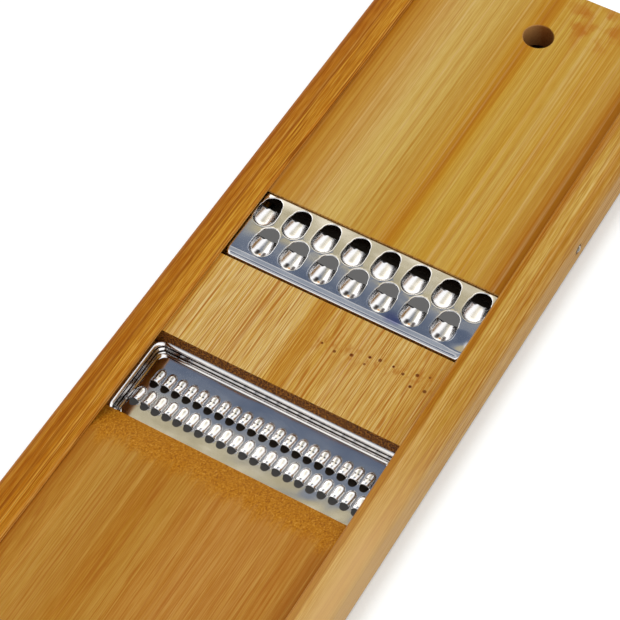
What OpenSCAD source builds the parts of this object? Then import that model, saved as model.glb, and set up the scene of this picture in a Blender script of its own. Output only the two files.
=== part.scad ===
// Bamboo board slicer: two grooved side rails hold three boards and two pressed steel plates.
// Length runs along Y with the hanging hole at +Y, width along X, and the rails stand on Z = 0.

/* [Rails] */
// Overall length of the tool
tool_len = 320; // [290:1:360]
// Clear width between the two rails
gap_w = 72; // [70:0.1:76]
// Width of each rail
rail_w = 10; // [8:0.1:12]
// Height of each rail
rail_h = 13; // [13:0.5:18]
// Height of the rail lip above the boards
top_lip = 2; // [1.5:0.1:2.5]
// Depth of the groove that takes the boards and the plate edges
groove_d = 3.6; // [3:0.1:4]
// Radius along the outer edges of the rails
outer_round = 2; // [0.5:0.1:2]
// Radius along the inner edges of the rails
inner_round = 1.5; // [0.5:0.1:1.5]

/* [Boards] */
// Thickness of the boards
board_t = 9; // [8.8:0.1:9.4]
// Length of the upper board
upper_len = 108.7; // [90:0.1:130]
// Length of the opening over the coarse plate
coarse_open = 24.8; // [24.4:0.1:26]
// Length of the middle board, between the two plates
middle_len = 29.6; // [20:0.1:40]
// Length of the opening over the fine plate
fine_open = 24.9; // [24.4:0.1:26]
// Play between a board's edge and the bottom of its groove
edge_play = 0.2; // [0.1:0.05:0.4]
// Length of the ramp cut on a board where it meets the hollow side of a plate
ramp_len = 9; // [5:0.5:15]
// Height of the thin edge left at the ramp's end
nose_t = 0.45; // [0.3:0.05:0.8]

/* [Hanging hole] */
// Radius of the hanging hole
hole_r = 4.5; // [2:0.1:8]
// Distance from the hole's centre to the upper end
hole_end = 20.3; // [10:0.1:35]
// Distance of the hole's centre from the tool's centre line
hole_side = 2.5; // [-15:0.5:15]

/* [Plates] */
// Thickness of the steel sheet
sheet_t = 0.5; // [0.4:0.05:0.5]
// Length of a pressed pan where it meets its flange
pan_len = 25.2; // [24.8:0.1:25.4]
// Distance from the pan's foot to each rail's groove bottom
pan_side = 2.1; // [1.9:0.1:2.4]
// Height of the pan's flat above its flange
pan_rise = 3.4; // [3:0.1:3.6]
// Distance that each wall of the pan leans in
pan_lean = 1.1; // [0.6:0.1:1.4]
// Corner radius of the pan at its foot
pan_corner = 4; // [4:0.5:7]
// Width of the flange beyond the pan's two long walls
flange_w = 1.9; // [1.7:0.1:2.1]

/* [Coarse scoops] */
// Scoops in the row nearest the hanging hole, one more than in the other row
scoops_per_row = 8; // [4:1:8]
// Distance between neighbouring scoops
scoop_pitch = 9.28; // [8.6:0.01:9.3]
// Distance between the two rows of scoops
scoop_row_pitch = 9.5; // [9.2:0.1:9.6]
// Inside radius of a scoop
scoop_r = 3; // [2.4:0.05:3.2]
// Length of a scoop from the far side of its hole to its closed end
scoop_len = 10.4; // [9:0.1:10.6]
// Distance from the cut lip to the far side of the hole
scoop_hole = 3.8; // [3:0.1:4.5]
// Angle at which the lip leans forward as it goes down
lip_lean = 28; // [0:1:30]

/* [Fine teeth] */
// Teeth in the row nearest the hanging hole, one fewer than in the other row
teeth_per_row = 20; // [10:1:20]
// Distance between neighbouring teeth
tooth_pitch = 3.35; // [3:0.01:3.4]
// Distance between the two rows of teeth
tooth_row_pitch = 7.2; // [7:0.1:7.6]
// Outside radius of a tooth
tooth_r = 1.4; // [1.2:0.05:1.45]
// Length of a tooth's hood
tooth_len = 5; // [4:0.1:5.4]
// Length of the hole in front of a tooth's mouth
tooth_hole = 1.7; // [1:0.1:1.8]

/* [Nails] */
// Radius of a nail's shank
nail_r = 0.75; // [0.5:0.05:1]
// Radius of a nail's head
nail_head_r = 1.3; // [1.1:0.05:2]
// Length of a nail
nail_len = 20; // [15:0.5:30]

/* [Hidden] */
$fn = 48;
CUT = 1;

tool_w = gap_w + 2 * rail_w;
board_top = rail_h - top_lip;
board_bottom = board_top - board_t;
board_mid = board_top - board_t / 2;
board_w = gap_w + 2 * (groove_d - edge_play);

upper_end = tool_len / 2 - upper_len;
middle_top_end = upper_end - coarse_open;
middle_low_end = middle_top_end - middle_len;
lower_end = middle_low_end - fine_open;

// A plate's flange lies on the boards' mid-plane, in saw kerfs cut in the board ends
flange_z = [board_mid - 0.1, board_mid - sheet_t + 0.1];
kerf_play = 0.05;
pan_play = 0.1;
pan_w = gap_w + 2 * (groove_d - pan_side);
flange_l = pan_len + 2 * flange_w;
flange_across = gap_w + 2 * groove_d - 0.4;

// The pan reaches this far under the edge of the upper board, and of the lower board
pan_under = 1.5;
coarse_y = upper_end + pan_under - pan_len / 2;
fine_y = lower_end - pan_under + 0.7 + pan_len / 2;

// A leaning wall needs this step between its outside and its inside at one height
wall_step = sheet_t * (sqrt(1 + pow(pan_lean / pan_rise, 2)) - pan_lean / pan_rise);
scoop_row_y = [coarse_y + 0.35 + scoop_row_pitch / 2, coarse_y + 0.35 - scoop_row_pitch / 2];
lip_reach = 2;
scoop_hole_r = scoop_r - 0.15;
tooth_row_y = [fine_y + 0.25 + tooth_row_pitch / 2, fine_y + 0.25 - tooth_row_pitch / 2];
tooth_hollow_r = tooth_r - 0.4;

// Nails stand at these places along the rails, two in the upper and two in the lower board
nail_inset = 14;
nail_y = [tool_len / 2 - nail_inset, upper_end + 27.7, lower_end - 45.5, -tool_len / 2 + nail_inset];
nail_head_t = 0.6;
nail_sink = 0.1;
nail_tip = 2;

BAMBOO_RAIL = "#b97f33";
BAMBOO_UPPER = "#c48f41";
BAMBOO_MIDDLE = "#cfa65c";
BAMBOO_LOWER = "#b87c30";
STEEL = "#b9bcc4";
NAIL_STEEL = "#a9a9ad";

// Rectangle with round corners, centred on the origin
module round_rect(w, l, r) {
    square([w - 2 * r, l], center = true);
    square([w, l - 2 * r], center = true);
    for (x = [-1, 1], y = [-1, 1]) translate([x * (w / 2 - r), y * (l / 2 - r)]) circle(r = r);
}

// Cross-section of a rail, with its inner wall at X = 0 and its outer side at +X
module rail_section() {
    half_w = rail_w / 2;
    difference() {
        union() {
            translate([inner_round, 0]) square([rail_w - inner_round - outer_round, rail_h]);
            translate([0, inner_round]) square([half_w, rail_h - 2 * inner_round]);
            translate([half_w, outer_round]) square([half_w, rail_h - 2 * outer_round]);
            for (z = [inner_round, rail_h - inner_round])
                translate([inner_round, z]) circle(r = inner_round);
            for (z = [outer_round, rail_h - outer_round])
                translate([rail_w - outer_round, z]) circle(r = outer_round);
        }
        translate([-CUT, board_bottom]) square([CUT + groove_d, board_t]);
    }
}

// One rail with its groove, standing at the +X side of the gap
module rail() {
    translate([gap_w / 2, tool_len / 2, 0]) rotate([90, 0, 0])
        linear_extrude(tool_len) rail_section();
}

// Nail driven along -X, with the top of its head just below the plane X = 0
module nail() {
    rotate([0, -90, 0]) translate([0, 0, nail_sink]) {
        cylinder(r = nail_head_r, h = nail_head_t);
        cylinder(r = nail_r, h = nail_len - nail_tip);
        translate([0, 0, nail_len - nail_tip]) cylinder(r1 = nail_r, r2 = 0.1, h = nail_tip);
    }
}

// Opening made by a nail whose head is driven just below the surface
module nail_hole() {
    nail();
    rotate([0, 90, 0]) translate([0, 0, -nail_sink]) cylinder(r = nail_head_r, h = CUT);
}

module at_left_nail(i) {
    translate([-tool_w / 2, nail_y[i - 1], board_mid]) mirror([1, 0, 0]) children();
}

module at_right_nail(i) {
    translate([tool_w / 2, nail_y[i - 1], board_mid]) children();
}

module left_rail() color(BAMBOO_RAIL) difference() {
    mirror([1, 0, 0]) rail();
    for (i = [1:len(nail_y)]) at_left_nail(i) nail_hole();
}

module right_rail() color(BAMBOO_RAIL) difference() {
    rail();
    for (i = [1:len(nail_y)]) at_right_nail(i) nail_hole();
}

// Holes of the nails numbered first to last, in both edges of a board
module board_nail_holes(first, last) {
    for (i = [first:last]) {
        at_left_nail(i) nail_hole();
        at_right_nail(i) nail_hole();
    }
}

// Slab between two places along Y, as wide as the grooves allow
module slab(low_y, high_y) {
    translate([-board_w / 2, low_y, board_bottom]) cube([board_w, high_y - low_y, board_t]);
}

// Saw kerf across a whole board for the flange of plate p, between two places along Y
module kerf(low_y, high_y, p) {
    translate([-board_w / 2 - CUT, low_y, flange_z[p] - kerf_play])
        cube([board_w + 2 * CUT, high_y - low_y, sheet_t + 2 * kerf_play]);
}

// Wedge that cuts a ramp into the top of a board, ending a given drop lower at Y = 0
module ramp_cut(drop) {
    slope = drop / ramp_len;
    rotate([90, 0, 90]) translate([0, 0, -board_w / 2 - CUT]) linear_extrude(board_w + 2 * CUT)
        polygon([[-ramp_len, 0], [CUT, -slope * (ramp_len + CUT)], [CUT, CUT], [-ramp_len, CUT]]);
}

// Block on Z = 0 with round corners, whose four sides lean in by pan_lean over its height
module leaning_block(w, l, h) {
    intersection() {
        rotate([90, 0, 0]) translate([0, 0, -l]) linear_extrude(2 * l)
            polygon([[-w / 2, 0], [w / 2, 0], [w / 2 - pan_lean, h], [-w / 2 + pan_lean, h]]);
        rotate([90, 0, 90]) translate([0, 0, -w]) linear_extrude(2 * w)
            polygon([[-l / 2, 0], [l / 2, 0], [l / 2 - pan_lean, h], [-l / 2 + pan_lean, h]]);
        linear_extrude(h) round_rect(w, l, pan_corner);
    }
}

// Pressed pan: its flange starts at Z = 0 and its flat stands above it
module pan() {
    difference() {
        union() {
            linear_extrude(sheet_t) round_rect(flange_across, flange_l, 3);
            translate([0, 0, sheet_t]) leaning_block(pan_w, pan_len, pan_rise);
        }
        leaning_block(pan_w - 2 * wall_step, pan_len - 2 * wall_step, pan_rise);
        translate([0, 0, -CUT]) linear_extrude(CUT + 0.001)
            round_rect(pan_w - 2 * wall_step, pan_len - 2 * wall_step, pan_corner);
    }
}

// Room that a pan needs above its flange, standing on the flange
module pan_room() {
    translate([0, 0, sheet_t])
        leaning_block(pan_w + 2 * pan_play, pan_len + 2 * pan_play, pan_rise + pan_play / 2);
}

module at_coarse() {
    translate([0, coarse_y, flange_z[0]]) children();
}

// Places a plate the other way up, for the fine plate
module at_fine() {
    translate([0, fine_y, flange_z[1] + sheet_t]) mirror([0, 0, 1]) children();
}

module upper_board() color(BAMBOO_UPPER) difference() {
    slab(upper_end, tool_len / 2);
    translate([hole_side, tool_len / 2 - hole_end, board_bottom - CUT])
        cylinder(r = hole_r, h = board_t + 2 * CUT);
    kerf(upper_end - CUT, coarse_y + flange_l / 2 + 0.1, 0);
    at_coarse() pan_room();
    translate([0, upper_end, board_bottom]) rotate([180, 0, 0])
        ramp_cut(flange_z[0] - kerf_play - nose_t - board_bottom);
    board_nail_holes(1, 2);
}

module middle_board() color(BAMBOO_MIDDLE) difference() {
    slab(middle_low_end, middle_top_end);
    kerf(coarse_y - flange_l / 2 - 0.1, middle_top_end + CUT, 0);
    kerf(middle_low_end - CUT, fine_y + flange_l / 2 + 0.1, 1);
}

module lower_board() color(BAMBOO_LOWER) difference() {
    slab(-tool_len / 2, lower_end);
    kerf(fine_y - flange_l / 2 - 0.1, lower_end + CUT, 1);
    at_fine() pan_room();
    translate([0, lower_end, board_top])
        ramp_cut(board_top - flange_z[1] - sheet_t - kerf_play - nose_t);
    board_nail_holes(3, 4);
}

// Round trough along -Y from a flat end at the origin to a ball end
module trough(r, length) {
    rotate([90, 0, 0]) cylinder(r = r, h = length - r);
    translate([0, r - length, 0]) sphere(r = r);
}

// Trough of one scoop, reaching past its lip, hanging from the plane Z = 0
module scoop_trough(grow) {
    translate([0, lip_reach, 0])
        trough(scoop_r + grow, lip_reach + scoop_len - scoop_hole + grow);
}

// Metal of one scoop, with its lip at Y = 0
module scoop_metal() {
    intersection() {
        scoop_trough(sheet_t);
        rotate([lip_lean, 0, 0]) translate([-10, -20, -10]) cube([20, 20, 20]);
        translate([-10, -20, -10]) cube([20, 40, 10]);
    }
}

// Hollow of one scoop, and the round-ended hole in front of its lip
module scoop_hollow() {
    scoop_trough(0);
    translate([0, 0, -sheet_t - 0.1]) linear_extrude(sheet_t + 0.1 + CUT) {
        translate([0, scoop_hole - scoop_hole_r]) circle(r = scoop_hole_r);
        translate([-scoop_hole_r, 0]) square([2 * scoop_hole_r, scoop_hole - scoop_hole_r]);
    }
}

// Places the children at each scoop: a row, and a row of one fewer between them
module at_scoops() {
    for (row = [0:1], i = [0:scoops_per_row - 1 - row])
        translate([
            (i - (scoops_per_row - 1 - row) / 2) * scoop_pitch,
            scoop_row_y[row] - coarse_y + scoop_len / 2 - scoop_hole,
            pan_rise + sheet_t])
            children();
}

module coarse_plate() color(STEEL) at_coarse() difference() {
    union() {
        pan();
        at_scoops() scoop_metal();
    }
    at_scoops() scoop_hollow();
}

// Places the children at each tooth: a row, and a row of one more between them
module at_teeth() {
    for (row = [0:1], i = [0:teeth_per_row - 1 + row])
        translate([
            (i - (teeth_per_row - 1 + row) / 2) * tooth_pitch,
            tooth_row_y[row] - fine_y + (tooth_hole - tooth_len) / 2,
            pan_rise])
            children();
}

// Metal of one tooth, a half-round hood that stands down into the pan, with its mouth at Y = 0
module tooth_metal() {
    difference() {
        rotate([0, 0, 180]) trough(tooth_r, tooth_len);
        translate([-5, -5, 0]) cube([10, 20, 5]);
    }
}

// Hollow of one tooth, and the hole in front of its mouth
module tooth_hollow() {
    rotate([0, 0, 180]) trough(tooth_hollow_r, tooth_len - tooth_r + tooth_hollow_r);
    translate([0, tooth_hollow_r - tooth_hole, -0.05])
        cylinder(r = tooth_hollow_r, h = sheet_t + CUT);
    translate([-tooth_hollow_r, tooth_hollow_r - tooth_hole, -0.05])
        cube([2 * tooth_hollow_r, tooth_hole + tooth_len - tooth_r - tooth_hollow_r, sheet_t + CUT]);
}

module fine_plate() color(STEEL) at_fine() difference() {
    union() {
        pan();
        at_teeth() tooth_metal();
    }
    at_teeth() tooth_hollow();
}

module left_nail(i) color(NAIL_STEEL) at_left_nail(i) nail();
module right_nail(i) color(NAIL_STEEL) at_right_nail(i) nail();

left_rail();
right_rail();
upper_board();
middle_board();
lower_board();
coarse_plate();
fine_plate();
left_nail(1);  // nail_left_1
left_nail(2);  // nail_left_2
left_nail(3);  // nail_left_3
left_nail(4);  // nail_left_4
right_nail(1);  // nail_right_1
right_nail(2);  // nail_right_2
right_nail(3);  // nail_right_3
right_nail(4);  // nail_right_4
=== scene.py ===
import math
import bmesh
import bpy
from mathutils import Matrix, Vector


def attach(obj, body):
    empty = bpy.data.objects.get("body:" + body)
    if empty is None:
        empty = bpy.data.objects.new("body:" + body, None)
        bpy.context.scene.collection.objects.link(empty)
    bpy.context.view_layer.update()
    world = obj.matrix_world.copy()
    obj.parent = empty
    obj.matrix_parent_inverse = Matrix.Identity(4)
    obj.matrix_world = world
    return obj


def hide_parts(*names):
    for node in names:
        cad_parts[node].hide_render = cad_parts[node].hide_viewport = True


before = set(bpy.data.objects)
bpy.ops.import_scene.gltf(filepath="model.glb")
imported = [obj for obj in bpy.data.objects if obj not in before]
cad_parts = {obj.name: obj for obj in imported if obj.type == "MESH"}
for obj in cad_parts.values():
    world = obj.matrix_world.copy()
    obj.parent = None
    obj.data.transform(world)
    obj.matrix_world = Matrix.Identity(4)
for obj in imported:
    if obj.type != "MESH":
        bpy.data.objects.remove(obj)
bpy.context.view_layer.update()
scene = bpy.context.scene
scene.view_settings.view_transform = "Standard"
MM = 0.001


# Camera: a long lens that looks down on the slicer from beyond its lower right corner,
# turned by about a degree, so that the tool runs up across the frame.
CAMERA_TURN = math.radians(31.44)
CAMERA_RISE = math.radians(54.47)
CAMERA_ROLL = math.radians(-1.198)
CAMERA_AIM = Vector((-4.72, 20.85, 13.0))
CAMERA_DISTANCE = 574.36
LENS_PIXELS = 2173.08
FRAME_PIXELS = 620
SENSOR = 36

away = Vector((
    math.sin(CAMERA_TURN) * math.cos(CAMERA_RISE),
    -math.cos(CAMERA_TURN) * math.cos(CAMERA_RISE),
    math.sin(CAMERA_RISE),
))
level = Vector((0, 0, 1)).cross(away).normalized()
upward = away.cross(level)
side = level * math.cos(CAMERA_ROLL) + upward * math.sin(CAMERA_ROLL)
top = upward * math.cos(CAMERA_ROLL) - level * math.sin(CAMERA_ROLL)
camera_data = bpy.data.cameras.new("camera")
camera_data.sensor_width = SENSOR
camera_data.lens = SENSOR * LENS_PIXELS / FRAME_PIXELS
camera = bpy.data.objects.new("camera", camera_data)
scene.collection.objects.link(camera)
camera_place = Matrix((side, top, away)).transposed().to_4x4()
camera_place.translation = (CAMERA_AIM + away * CAMERA_DISTANCE) * MM
camera.matrix_world = camera_place
scene.camera = camera


# Side rails: two bamboo bars, 10 by 13 mm, with a 9 mm groove ploughed along the inner face
# for the boards. Their long edges are rounded with a router and sanded, then oiled. Four nails
# go through each rail into the boards' edges.
RAIL_IN = 36.0
RAIL_OUT = 46.0
RAIL_TOP = 13.0
RAIL_HALF = 160.0
GROOVE_LOW = 2.0
GROOVE_HIGH = 11.0
GROOVE_BOTTOM = 39.6
RAIL_ROUNDS = [
    (RAIL_OUT, 0.0, 2.0), (RAIL_OUT, RAIL_TOP, 2.0), (RAIL_IN, 0.0, 1.4), (RAIL_IN, RAIL_TOP, 1.4),
    (RAIL_IN, GROOVE_LOW, 0.12), (RAIL_IN, GROOVE_HIGH, 0.12),
]
RAIL_END_ROUND = 0.25
NAIL_PLACES = [146.0, 79.0, -73.5, -146.0]
NAIL_Z = 6.5
PALE_TINT = (1.14, 1.2, 1.55, 1.0)
AMBER_TINT = (0.84, 0.61, 0.22, 1.0)


def colour(hex_text):
    """Turns an sRGB hex colour into the linear colour that a node takes."""
    parts = [int(hex_text[i:i + 2], 16) / 255 for i in (1, 3, 5)]
    linear = [p / 12.92 if p <= 0.04045 else ((p + 0.055) / 1.055) ** 2.4 for p in parts]
    return (*linear, 1.0)


def set_up(tree, node, settings):
    """Sets a node's options and sockets. A socket takes a value, a hex colour, or the socket or
    node that feeds it, and a node stands for its first output."""
    for name, value in settings.items():
        if not isinstance(name, int) and name not in node.inputs:
            setattr(node, name, value)
        elif isinstance(value, bpy.types.Node):
            tree.links.new(value.outputs[0], node.inputs[name])
        elif isinstance(value, bpy.types.NodeSocket):
            tree.links.new(value, node.inputs[name])
        else:
            node.inputs[name].default_value = colour(value) if isinstance(value, str) else value


def add(tree, kind, settings=None, stops=()):
    """Adds a node with its settings and links, and fills its colour ramp from the stops."""
    node = tree.nodes.new("ShaderNode" + kind)
    set_up(tree, node, settings or {})
    if stops:
        ramp = node.color_ramp.elements
        while len(ramp) < len(stops):
            ramp.new(1.0)
        for element, (position, tone) in zip(ramp, stops):
            element.position = position
        for element, (position, tone) in zip(ramp, stops):
            element.color = colour(tone)
    return node


def new_material(name):
    """Starts a material that holds only its output and its surface shader."""
    material = bpy.data.materials.new(name)
    material.use_nodes = True
    material.node_tree.nodes.clear()
    surface = add(material.node_tree, "BsdfPrincipled")
    add(material.node_tree, "OutputMaterial", {"Surface": surface})
    return material, material.node_tree, surface


def near_point(tree, place, point, inner, outer, most=1.0, fade="LINEAR"):
    """A mask that is full within inner mm of a point and fades to nothing at outer mm."""
    centre = [part * MM for part in point]
    gap = add(tree, "VectorMath", {"operation": "DISTANCE", 0: place, 1: centre})
    return add(tree, "MapRange", {"interpolation_type": fade, "Value": gap.outputs["Value"],
                                  "From Min": outer * MM, "From Max": inner * MM, "To Max": most})


def near_plane(tree, axis, middle, inner, outer, most=1.0):
    """A mask that is full within inner mm of a plane and fades to nothing at outer mm."""
    off = add(tree, "Math", {"operation": "SUBTRACT", 0: axis, 1: middle * MM})
    gap = add(tree, "Math", {"operation": "ABSOLUTE", 0: off})
    return add(tree, "MapRange", {"Value": gap, "From Min": outer * MM, "From Max": inner * MM,
                                  "To Max": most})


def facing_ends(tree, none, full):
    """A mask by how far a face points along the fibres, from nothing at the one share to full at
    the other."""
    facing = add(tree, "SeparateXYZ", {0: add(tree, "NewGeometry").outputs["Normal"]})
    along = add(tree, "Math", {"operation": "ABSOLUTE", 0: facing.outputs[1]})
    return add(tree, "MapRange", {"Value": along, "From Min": none, "From Max": full})


def oiled_bamboo(name, bands, turn, ends=("#2e1808", "#66390f", "#946021"), wander=0.5,
                 streak="#a86a20", pale="#d3b274", line="#a4601a", streaks=0.55, lines=0.5,
                 line_gap=0.035, depth=0.6, dashes=0.3, scars=(), nails=(), own_marks=None):
    """Laminated bamboo, planed and wiped with oil: satin, with long fibres along Y. bands gives
    the tone at places across the piece in mm, and turn moves the pattern for each board."""
    material, tree, surface = new_material(name)
    place = add(tree, "TexCoord").outputs["Object"]
    axes = add(tree, "SeparateXYZ", {0: place})

    # The strips were sawn from a tapering culm, so their tones drift sideways along the board.
    drift_place = add(tree, "Mapping", {"Vector": place, "Location": (turn, 0, 0), "Scale": (60, 9, 60)})
    drift = add(tree, "TexNoise", {"Vector": drift_place, "Scale": 1.0, "Detail": 1.0})
    shift = add(tree, "MapRange", {"Value": drift, "To Min": -wander * MM, "To Max": wander * MM})
    across = add(tree, "Math", {"operation": "ADD", 0: axes.outputs[0], 1: shift})
    first, last = bands[0][0], bands[-1][0]
    share = add(tree, "MapRange", {"Value": across, "From Min": first * MM, "From Max": last * MM})
    strips = add(tree, "ValToRGB", {0: share}, [((x - first) / (last - first), tone) for x, tone in bands])

    # Soft streaks about 1 mm wide and 100 mm long, where the culm wall was darker or paler.
    soft_place = add(tree, "Mapping", {"Vector": place, "Location": (turn, turn, 0), "Scale": (650, 4, 650)})
    soft = add(tree, "TexNoise", {"Vector": soft_place, "Scale": 1.0, "Detail": 3.0, "Roughness": 0.55})
    dark_share = add(tree, "MapRange", {"Value": soft, "From Min": 0.52, "From Max": 0.74,
                                        "To Max": streaks})
    pale_share = add(tree, "MapRange", {"Value": soft, "From Min": 0.47, "From Max": 0.26, "To Max": 0.6})
    darker = add(tree, "MixRGB", {0: dark_share, 1: strips, 2: streak})
    paler = add(tree, "MixRGB", {0: pale_share, 1: darker, 2: pale})

    # Fibre bundles: real ones are 0.3 mm apart; drawn 0.6 mm apart, the finest the view can show.
    fibre_place = add(tree, "Mapping", {"Vector": place, "Location": (turn, 0, turn),
                                        "Scale": (1950, 8, 1950)})
    fibre = add(tree, "TexNoise", {"Vector": fibre_place, "Scale": 1.0, "Detail": 2.5, "Roughness": 0.6})
    fibre_share = add(tree, "MapRange", {"Value": fibre, "From Min": 0.36, "From Max": 0.64})
    fibre_tint = add(tree, "MixRGB", {0: fibre_share, 1: PALE_TINT, 2: AMBER_TINT})
    fibrous = add(tree, "MixRGB", {"blend_type": "MULTIPLY", 0: depth, 1: paler, 2: fibre_tint})

    # Cut vessels: dark dashes, 0.2 mm wide and about 4 mm long.
    vessel_place = add(tree, "Mapping", {"Vector": place, "Location": (turn, turn, turn),
                                         "Scale": (3800, 170, 3800)})
    vessel = add(tree, "TexNoise", {"Vector": vessel_place, "Scale": 1.0, "Detail": 1.0})
    vessel_share = add(tree, "MapRange", {"Value": vessel, "From Min": 0.38, "From Max": 0.64})
    vessel_tint = add(tree, "MixRGB", {0: vessel_share, 1: PALE_TINT, 2: AMBER_TINT})
    dashed = add(tree, "MixRGB", {"blend_type": "MULTIPLY", 0: dashes, 1: fibrous, 2: vessel_tint})

    # Sap lines: thin orange-brown lines that run the board's whole length, 1 to 3 mm apart.
    sap_place = add(tree, "Mapping", {"Vector": place, "Location": (0, turn, turn), "Scale": (330, 5, 330)})
    sap = add(tree, "TexNoise", {"Vector": sap_place, "Scale": 1.0, "Detail": 1.5, "Roughness": 0.5})
    off_line = add(tree, "Math", {"operation": "PINGPONG", 0: sap, 1: line_gap})
    sap_share = add(tree, "MapRange", {"Value": off_line, "From Min": 0.016, "From Max": 0.006,
                                       "To Max": lines})
    fading = add(tree, "MapRange", {"Value": fibre, "From Min": 0.35, "From Max": 0.6, "To Min": 0.3})
    broken = add(tree, "Math", {"operation": "MULTIPLY", 0: sap_share, 1: fading})
    body = add(tree, "MixRGB", {0: broken, 1: dashed, 2: line})

    # Root-bud scars: dark brown specks about 1 mm across on the ring where a culm joint was.
    for x, y, radius, strength in scars:
        spot = near_point(tree, place, (x, y, GROOVE_HIGH), 0.55 * radius, radius, strength)
        body = add(tree, "MixRGB", {0: spot, 1: body, 2: "#5c2409"})

    # A dark ring round each nail, where the steel has stained the wood.
    for point in nails:
        ring = near_point(tree, place, point, 1.3, 1.9, 0.85)
        body = add(tree, "MixRGB", {0: ring, 1: body, 2: "#3f2812"})

    # End grain: cut bundles show as dark dots, 0.7 mm apart, in amber ground.
    dot_place = add(tree, "Mapping", {"Vector": place, "Scale": (1500, 900, 1500)})
    dots = add(tree, "TexVoronoi", {"Vector": dot_place, "Scale": 1.0, "Randomness": 0.7})
    ground = add(tree, "ValToRGB", {0: dots.outputs["Distance"]}, list(zip((0.2, 0.45, 0.8), ends)))
    marked = add(tree, "MixRGB", {0: facing_ends(tree, 0.5, 0.8), 1: body, 2: ground})
    if own_marks:
        marked = own_marks(tree, place, axes, marked)

    # Oil sinks in between the bundles, which leaves them a little rougher and lower.
    worn = add(tree, "MapRange", {"Value": fibre, "From Min": 0.3, "From Max": 0.7,
                                  "To Min": 0.41, "To Max": 0.56})
    relief = add(tree, "Math", {"operation": "MULTIPLY_ADD", 0: sap_share, 1: -0.6, 2: fibre})
    bump = add(tree, "Bump", {"Height": relief, "Strength": 0.35, "Distance": 0.06 * MM})
    set_up(tree, surface, {"Base Color": marked, "Roughness": worn, "Normal": bump, "IOR": 1.47,
                           "Specular IOR Level": 0.07})
    return material


def close_to(vert, **wanted):
    """Says whether a vertex lies at the wanted x, y or z."""
    return all(abs(getattr(vert.co, axis) - value) < 1e-3 for axis, value in wanted.items())


def extrude_section(bm, points, start, vector):
    """Draws a closed section and pulls it along a vector into a solid bar."""
    section = bm.faces.new([bm.verts.new(start(point)) for point in points])
    grown = bmesh.ops.extrude_face_region(bm, geom=[section])["geom"]
    bmesh.ops.translate(bm, vec=vector, verts=[g for g in grown if isinstance(g, bmesh.types.BMVert)])
    bmesh.ops.recalc_face_normals(bm, faces=bm.faces)


def round_edges(bm, edges, size, segments):
    """Rounds edges as sanding does."""
    bmesh.ops.bevel(bm, geom=edges, offset=size, offset_type="OFFSET", segments=segments,
                    profile=0.5, affect="EDGES", material=-1, clamp_overlap=True)


def make_piece(name, bm, material, sharp=35):
    """Puts a bmesh that was drawn in millimetres into the scene, with its shading and material."""
    bmesh.ops.scale(bm, vec=(MM, MM, MM), verts=bm.verts)
    mesh = bpy.data.meshes.new(name)
    bm.to_mesh(mesh)
    bm.free()
    mesh.shade_smooth()
    mesh.set_sharp_from_angle(angle=math.radians(sharp))
    mesh.materials.append(material)
    piece = bpy.data.objects.new(name, mesh)
    scene.collection.objects.link(piece)
    weights = piece.modifiers.new("even shading", "WEIGHTED_NORMAL")
    weights.keep_sharp = True
    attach(piece, "root")
    return piece


def rail_mesh():
    """The right-hand rail, in its place."""
    bm = bmesh.new()
    outline = [
        (RAIL_IN, 0), (RAIL_OUT, 0), (RAIL_OUT, RAIL_TOP), (RAIL_IN, RAIL_TOP), (RAIL_IN, GROOVE_HIGH),
        (GROOVE_BOTTOM, GROOVE_HIGH), (GROOVE_BOTTOM, GROOVE_LOW), (RAIL_IN, GROOVE_LOW),
    ]
    extrude_section(bm, outline, lambda p: (p[0], -RAIL_HALF, p[1]), (0, 2 * RAIL_HALF, 0))
    for x, z, size in RAIL_ROUNDS:
        edges = [e for e in bm.edges if all(close_to(v, x=x, z=z) for v in e.verts)]
        round_edges(bm, edges, size, 8 if size > 1 else 3)
    rims = []
    for edge in bm.edges:
        ends = [v.co.y for v in edge.verts]
        at_end = abs(ends[0]) > RAIL_HALF - 0.1 and abs(ends[0] - ends[1]) < 1e-4
        whole = min(f.calc_area() for f in edge.link_faces) > 1e-6
        if at_end and whole and not all(abs(f.normal.y) > 0.9 for f in edge.link_faces):
            rims.append(edge)
    round_edges(bm, rims, RAIL_END_ROUND, 2)
    return bm


def shaded_under_plate(tree, place, axes, below):
    """Paints shade on the left rail's inner face beside and under the coarse plate, where the plate shades
    it.
    """
    inner = add(tree, "MapRange", {"Value": axes.outputs[0], "From Min": -37.2 * MM, "From Max": -36.6 * MM})
    beside = near_plane(tree, axes.outputs[1], 42, 14, 20)
    under = add(tree, "MapRange", {"Value": axes.outputs[2], "From Min": 8.5 * MM, "From Max": 7.5 * MM})
    placed = add(tree, "Math", {"operation": "MULTIPLY", 0: beside, 1: under})
    share = add(tree, "Math", {"operation": "MULTIPLY", 0: placed, 1: inner})
    # Painted shade, near black, under the coarse plate.
    return add(tree, "MixRGB", {0: share, 1: below, 2: "#150c05"})


def paler_length(tree, place, axes, below):
    """Lightens the right rail's outer half towards its lower end, where that strip was paler."""
    along = add(tree, "MapRange", {"Value": axes.outputs[1], "From Min": 8 * MM, "From Max": -36 * MM})
    outer = add(tree, "MapRange", {"Value": axes.outputs[0], "From Min": 38.5 * MM, "From Max": 42.0 * MM,
                                   "To Min": 0.2, "To Max": 0.72})
    placed = add(tree, "Math", {"operation": "MULTIPLY", 0: along, 1: outer})
    share = add(tree, "Math", {"operation": "MULTIPLY", 0: placed, 1: facing_ends(tree, 0.8, 0.5)})
    return add(tree, "MixRGB", {0: share, 1: below, 2: "#d8b078"})


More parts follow.
